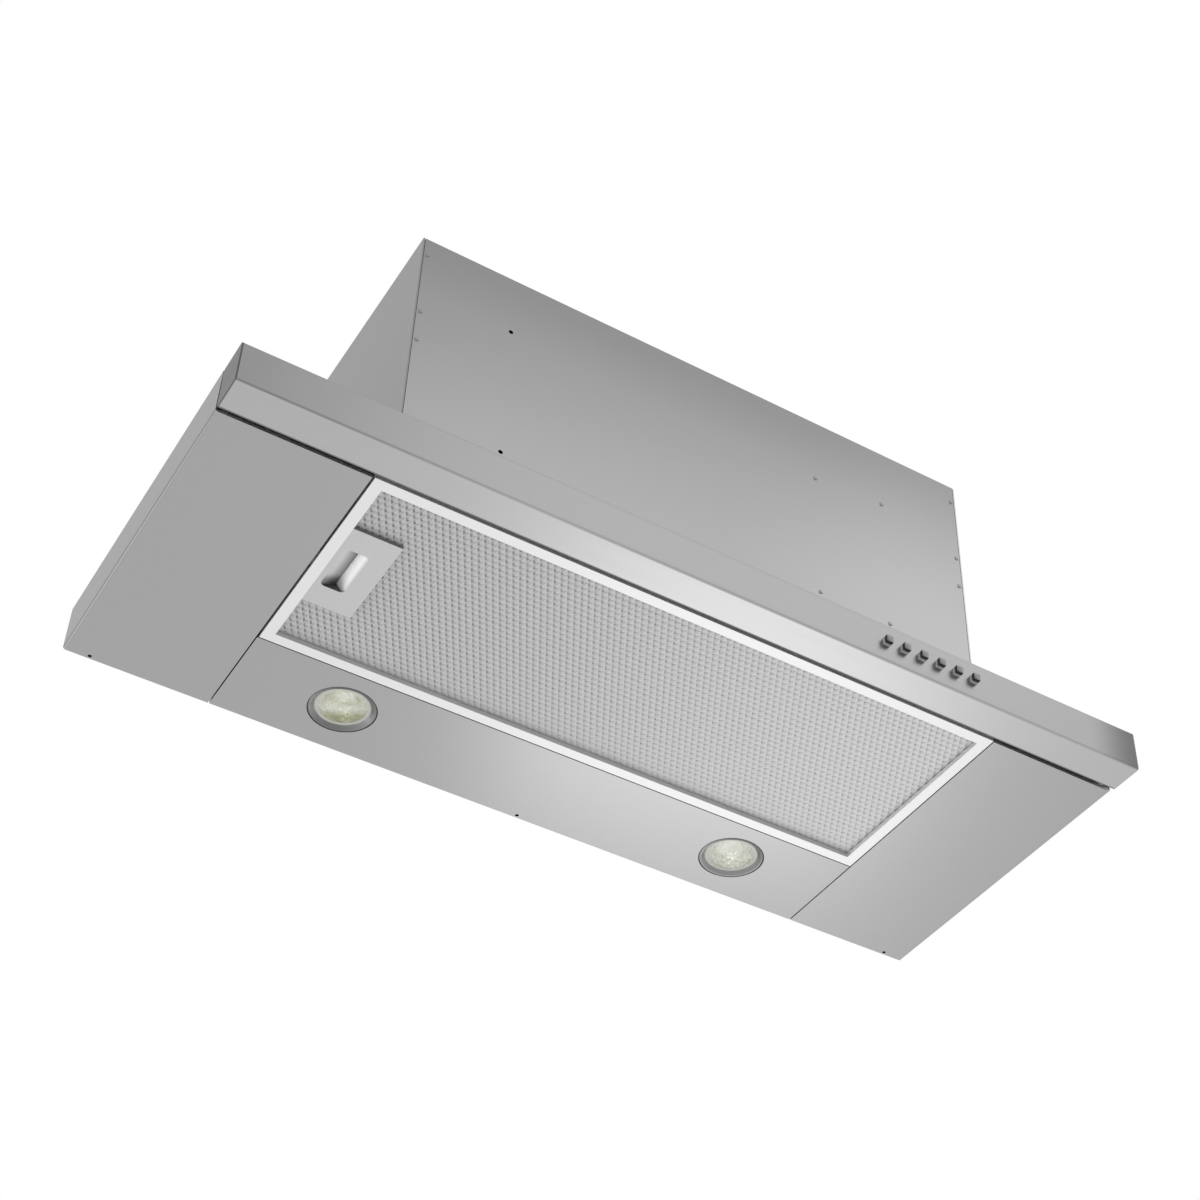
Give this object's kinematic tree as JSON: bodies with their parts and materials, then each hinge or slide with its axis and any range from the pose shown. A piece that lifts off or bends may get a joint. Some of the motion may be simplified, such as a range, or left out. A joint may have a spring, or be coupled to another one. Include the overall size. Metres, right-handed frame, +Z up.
{
  "type": "pull out range hood",
  "caption": "Slim pull-out range hood: fascia bar with push buttons on a sliding visor, grease filter with finger latch, inset lamps, and a motor housing with a round duct outlet.",
  "frame": {"origin": "middle of the closed hood's lower face: between left and right, between the buttons' faces and the rear edge, at the height of the flat bottom", "axes": "+X to the hood's right as seen from the front, +Y from the fascia bar to the rear, +Z up to the duct outlet"},
  "size_m": [0.76, 0.3186, 0.294],
  "materials": {
    "stainless": "stainless steel sheet, brushed left to right",
    "visor_steel": "stainless steel sheet, satin",
    "galvanised": "galvanised sheet, matt",
    "deck_steel": "galvanised sheet, matt",
    "slide_steel": "zinc-plated steel",
    "fasteners": "nickel-plated steel",
    "button_plastic": "grey, matt",
    "black_plastic": "black, matt",
    "circuit_board": "green resin board",
    "spring_steel": "spring steel",
    "filter_rim": "satin aluminium channel",
    "filter_mesh": "expanded aluminium mesh",
    "latch_metal": "satin aluminium",
    "lamp_bezel": "satin dark grey",
    "lamp_glass": "clear glass",
    "lamp_reflector": "faceted reflector",
    "lamp_socket": "cream ceramic",
    "damper_metal": "plain sheet",
    "shaft_steel": "ground steel",
    "motor_paint": "black, satin",
    "wheel_metal": "plain sheet"
  },
  "bodies": {
    "housing": {"end_panel_left": "stainless", "end_panel_right": "stainless", "light_panel": "stainless", "box_front": "galvanised", "box_rear": "galvanised", "box_left": "galvanised", "box_right": "galvanised", "box_top": "galvanised", "duct_collar": "galvanised", "blower_scroll": "galvanised", "terminal_box": "galvanised", "deck_left": "deck_steel", "deck_right": "deck_steel", "deck_front_rail": "deck_steel", "deck_rear_rail": "deck_steel", "filter_bracket_left": "deck_steel", "filter_bracket_right": "deck_steel", "outer_rail_left": "slide_steel", "outer_rail_right": "slide_steel", "box_rivets": "fasteners", "latch_keeper": "spring_steel", "lamp_bezel_left": "lamp_bezel", "lamp_bezel_right": "lamp_bezel", "lamp_glass_left": "lamp_glass", "lamp_glass_right": "lamp_glass", "lamp_bulb_left": "lamp_reflector", "lamp_bulb_right": "lamp_reflector", "lamp_holder_left": "lamp_socket", "lamp_holder_right": "lamp_socket", "damper_rod": "shaft_steel", "motor": "motor_paint"},
    "visor": {"fascia_bar": "stainless", "fascia_back_plate": "visor_steel", "fascia_cap_left": "stainless", "fascia_cap_right": "stainless", "visor_panel": "visor_steel", "visor_screws": "fasteners", "button_guide": "black_plastic", "switch_board": "circuit_board", "tact_switches": "black_plastic", "inner_rail_left": "slide_steel", "inner_rail_right": "slide_steel"},
    "cage_left": {"ball_cage_left": "slide_steel"},
    "cage_right": {"ball_cage_right": "slide_steel"},
    "filter": {"filter_frame": "filter_rim", "filter_mesh_outer": "filter_mesh", "filter_mesh_inner": "filter_mesh", "latch_back_plate": "filter_rim", "latch_spring": "spring_steel"},
    "latch": {"latch_plate": "latch_metal"},
    "fan": {"fan_wheel": "wheel_metal", "fan_shaft": "shaft_steel"},
    "damper_front": {"damper_front": "damper_metal"},
    "damper_rear": {"damper_rear": "damper_metal"},
    "button_power": {"button_power": "button_plastic"},
    "button_speed_1": {"button_speed_1": "button_plastic"},
    "button_speed_2": {"button_speed_2": "button_plastic"},
    "button_speed_3": {"button_speed_3": "button_plastic"},
    "button_boost": {"button_boost": "button_plastic"},
    "button_light": {"button_light": "button_plastic"}
  },
  "joints": [
    {"name": "visor_slide", "type": "slide", "parent": "housing", "child": "visor", "axis": [0, -1, 0], "range_m": [0, 0.165]},
    {"name": "cage_slide_left", "type": "slide", "parent": "housing", "child": "cage_left", "axis": [0, -1, 0], "range_m": [0, 0.0825]},
    {"name": "cage_slide_right", "type": "slide", "parent": "housing", "child": "cage_right", "axis": [0, -1, 0], "range_m": [0, 0.0825]},
    {"name": "filter_drop", "type": "hinge", "parent": "housing", "child": "filter", "pos_m": [0.2635, -0.0259, 0], "axis": [0, -1, 0], "range_deg": [0, 60], "deforming": ["latch_keeper"]},
    {"name": "latch_slide", "type": "slide", "parent": "filter", "child": "latch", "axis": [1, 0, 0], "range_m": [0, 0.0026], "stiffness_N_per_m": 500, "springref_m": -0.001, "deforming": ["latch_spring"]},
    {"name": "fan_spin", "type": "hinge", "parent": "housing", "child": "fan", "pos_m": [0, 0.03775, 0.1575], "axis": [1, 0, 0], "continuous": true},
    {"name": "damper_front_swing", "type": "hinge", "parent": "housing", "child": "damper_front", "pos_m": [0, -0.02475, 0.275], "axis": [-1, 0, 0], "range_deg": [0, 75]},
    {"name": "damper_rear_swing", "type": "hinge", "parent": "housing", "child": "damper_rear", "pos_m": [0, -0.02475, 0.275], "axis": [1, 0, 0], "range_deg": [0, 75]},
    {"name": "button_power_press", "type": "slide", "parent": "visor", "child": "button_power", "axis": [0, 1, 0], "range_m": [0, 0.0025], "stiffness_N_per_m": 300, "springref_m": -0.001},
    {"name": "button_speed_1_press", "type": "slide", "parent": "visor", "child": "button_speed_1", "axis": [0, 1, 0], "range_m": [0, 0.0025], "stiffness_N_per_m": 300, "springref_m": -0.001},
    {"name": "button_speed_2_press", "type": "slide", "parent": "visor", "child": "button_speed_2", "axis": [0, 1, 0], "range_m": [0, 0.0025], "stiffness_N_per_m": 300, "springref_m": -0.001},
    {"name": "button_speed_3_press", "type": "slide", "parent": "visor", "child": "button_speed_3", "axis": [0, 1, 0], "range_m": [0, 0.0025], "stiffness_N_per_m": 300, "springref_m": -0.001},
    {"name": "button_boost_press", "type": "slide", "parent": "visor", "child": "button_boost", "axis": [0, 1, 0], "range_m": [0, 0.0025], "stiffness_N_per_m": 300, "springref_m": -0.001},
    {"name": "button_light_press", "type": "slide", "parent": "visor", "child": "button_light", "axis": [0, 1, 0], "range_m": [0, 0.0025], "stiffness_N_per_m": 300, "springref_m": -0.001}
  ],
  "couplings": [
    {"joint": "cage_slide_left", "follows": "visor_slide", "ratio": 0.5},
    {"joint": "cage_slide_right", "follows": "visor_slide", "ratio": 0.5}
  ]
}
